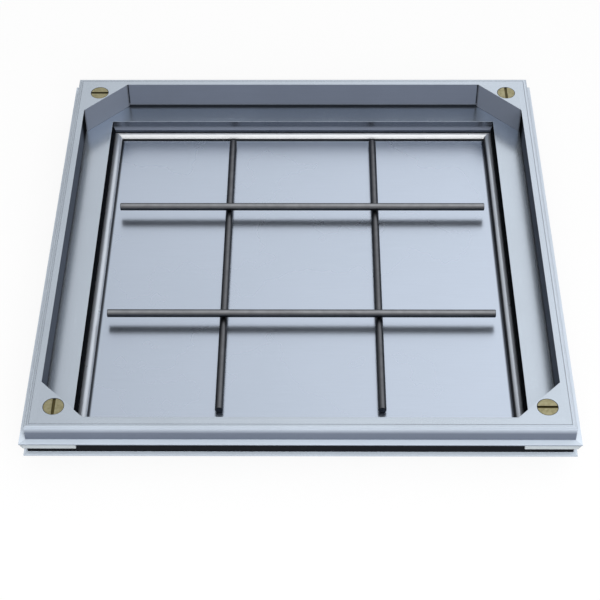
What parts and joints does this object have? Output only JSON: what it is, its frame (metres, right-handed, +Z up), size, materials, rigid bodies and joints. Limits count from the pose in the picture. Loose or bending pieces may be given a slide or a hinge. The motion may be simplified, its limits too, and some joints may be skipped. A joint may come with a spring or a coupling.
{
  "type": "manhole cover",
  "caption": "Square recessed manhole cover: an infill tray with reinforcing rods and slotted corner plugs, seated on a seal in a flanged aluminium frame.",
  "frame": {"origin": "under the middle of the cover, on the plane that the frame stands on", "axes": "+Z up out of the cover, -Y towards the side nearest the viewer in the picture"},
  "size_m": [0.708, 0.708, 0.078],
  "materials": {
    "frame_aluminium": "satin mill",
    "tray_aluminium": "satin mill",
    "plate_aluminium": "satin sheet",
    "bead_aluminium": "bright",
    "cleat_nylon": "moulded",
    "rod_steel": "dark rolled",
    "lock_steel": "plated",
    "brass": "turned, dulled",
    "rubber": "matt"
  },
  "bodies": {
    "frame": {"frame_rail_front": "frame_aluminium", "frame_rail_right": "frame_aluminium", "frame_rail_back": "frame_aluminium", "frame_rail_left": "frame_aluminium", "seat_seal_front": "rubber", "seat_seal_right": "rubber", "seat_seal_back": "rubber", "seat_seal_left": "rubber", "corner_cleat_back_right": "cleat_nylon", "corner_cleat_back_left": "cleat_nylon", "corner_cleat_front_left": "cleat_nylon", "corner_cleat_front_right": "cleat_nylon", "lock_nut_back_right": "lock_steel", "lock_nut_back_left": "lock_steel", "lock_nut_front_left": "lock_steel", "lock_nut_front_right": "lock_steel"},
    "cover": {"tray_rail_front": "tray_aluminium", "tray_rail_right": "tray_aluminium", "tray_rail_back": "tray_aluminium", "tray_rail_left": "tray_aluminium", "bed_bead_front": "bead_aluminium", "bed_bead_right": "bead_aluminium", "bed_bead_back": "bead_aluminium", "bed_bead_left": "bead_aluminium", "base_plate": "plate_aluminium", "bed_rod_front": "rod_steel", "bed_rod_right": "rod_steel", "bed_rod_back": "rod_steel", "bed_rod_left": "rod_steel", "corner_gusset_back_right": "tray_aluminium", "corner_gusset_back_left": "tray_aluminium", "corner_gusset_front_left": "tray_aluminium", "corner_gusset_front_right": "tray_aluminium", "lock_socket_back_right": "lock_steel", "lock_socket_back_left": "lock_steel", "lock_socket_front_left": "lock_steel", "lock_socket_front_right": "lock_steel"},
    "seal_ring_back_right": {"plug_seal_back_right": "rubber"},
    "brass_plug_back_right": {"plug_back_right": "brass"},
    "washer_back_right": {"lock_washer_back_right": "lock_steel"},
    "bolt_back_right": {"lock_bolt_back_right": "lock_steel"},
    "seal_ring_back_left": {"plug_seal_back_left": "rubber"},
    "brass_plug_back_left": {"plug_back_left": "brass"},
    "washer_back_left": {"lock_washer_back_left": "lock_steel"},
    "bolt_back_left": {"lock_bolt_back_left": "lock_steel"},
    "seal_ring_front_left": {"plug_seal_front_left": "rubber"},
    "brass_plug_front_left": {"plug_front_left": "brass"},
    "washer_front_left": {"lock_washer_front_left": "lock_steel"},
    "bolt_front_left": {"lock_bolt_front_left": "lock_steel"},
    "seal_ring_front_right": {"plug_seal_front_right": "rubber"},
    "brass_plug_front_right": {"plug_front_right": "brass"},
    "washer_front_right": {"lock_washer_front_right": "lock_steel"},
    "bolt_front_right": {"lock_bolt_front_right": "lock_steel"}
  },
  "joints": [
    {"name": "cover_lift", "type": "slide", "parent": "frame", "child": "cover", "axis": [0, 0, 1], "range_m": [0, 0.12]},
    {"name": "plug_rise_back_right", "type": "slide", "parent": "cover", "child": "seal_ring_back_right", "axis": [0, 0, 1], "range_m": [0, 0.0141]},
    {"name": "plug_turn_back_right", "type": "hinge", "parent": "seal_ring_back_right", "child": "brass_plug_back_right", "pos_m": [0.3117, 0.3117, 0.078], "axis": [0, 0, 1], "range_deg": [0, 2520]},
    {"name": "bolt_rise_back_right", "type": "slide", "parent": "cover", "child": "washer_back_right", "axis": [0, 0, 1], "range_m": [0, 0.0076]},
    {"name": "bolt_turn_back_right", "type": "hinge", "parent": "washer_back_right", "child": "bolt_back_right", "pos_m": [0.3117, 0.3117, 0.078], "axis": [0, 0, 1], "range_deg": [0, 2160]},
    {"name": "plug_rise_back_left", "type": "slide", "parent": "cover", "child": "seal_ring_back_left", "axis": [0, 0, 1], "range_m": [0, 0.0141]},
    {"name": "plug_turn_back_left", "type": "hinge", "parent": "seal_ring_back_left", "child": "brass_plug_back_left", "pos_m": [-0.3117, 0.3117, 0.078], "axis": [0, 0, 1], "range_deg": [0, 2520]},
    {"name": "bolt_rise_back_left", "type": "slide", "parent": "cover", "child": "washer_back_left", "axis": [0, 0, 1], "range_m": [0, 0.0076]},
    {"name": "bolt_turn_back_left", "type": "hinge", "parent": "washer_back_left", "child": "bolt_back_left", "pos_m": [-0.3117, 0.3117, 0.078], "axis": [0, 0, 1], "range_deg": [0, 2160]},
    {"name": "plug_rise_front_left", "type": "slide", "parent": "cover", "child": "seal_ring_front_left", "axis": [0, 0, 1], "range_m": [0, 0.0141]},
    {"name": "plug_turn_front_left", "type": "hinge", "parent": "seal_ring_front_left", "child": "brass_plug_front_left", "pos_m": [-0.3117, -0.3117, 0.078], "axis": [0, 0, 1], "range_deg": [0, 2520]},
    {"name": "bolt_rise_front_left", "type": "slide", "parent": "cover", "child": "washer_front_left", "axis": [0, 0, 1], "range_m": [0, 0.0076]},
    {"name": "bolt_turn_front_left", "type": "hinge", "parent": "washer_front_left", "child": "bolt_front_left", "pos_m": [-0.3117, -0.3117, 0.078], "axis": [0, 0, 1], "range_deg": [0, 2160]},
    {"name": "plug_rise_front_right", "type": "slide", "parent": "cover", "child": "seal_ring_front_right", "axis": [0, 0, 1], "range_m": [0, 0.0141]},
    {"name": "plug_turn_front_right", "type": "hinge", "parent": "seal_ring_front_right", "child": "brass_plug_front_right", "pos_m": [0.3117, -0.3117, 0.078], "axis": [0, 0, 1], "range_deg": [0, 2520]},
    {"name": "bolt_rise_front_right", "type": "slide", "parent": "cover", "child": "washer_front_right", "axis": [0, 0, 1], "range_m": [0, 0.0076]},
    {"name": "bolt_turn_front_right", "type": "hinge", "parent": "washer_front_right", "child": "bolt_front_right", "pos_m": [0.3117, -0.3117, 0.078], "axis": [0, 0, 1], "range_deg": [0, 2160]}
  ],
  "couplings": [
    {"joint": "plug_rise_back_right", "follows": "plug_turn_back_right", "m_per_rad": 0.00031831},
    {"joint": "bolt_rise_back_right", "follows": "bolt_turn_back_right", "m_per_rad": 0.00019894},
    {"joint": "plug_rise_back_left", "follows": "plug_turn_back_left", "m_per_rad": 0.00031831},
    {"joint": "bolt_rise_back_left", "follows": "bolt_turn_back_left", "m_per_rad": 0.00019894},
    {"joint": "plug_rise_front_left", "follows": "plug_turn_front_left", "m_per_rad": 0.00031831},
    {"joint": "bolt_rise_front_left", "follows": "bolt_turn_front_left", "m_per_rad": 0.00019894},
    {"joint": "plug_rise_front_right", "follows": "plug_turn_front_right", "m_per_rad": 0.00031831},
    {"joint": "bolt_rise_front_right", "follows": "bolt_turn_front_right", "m_per_rad": 0.00019894}
  ]
}
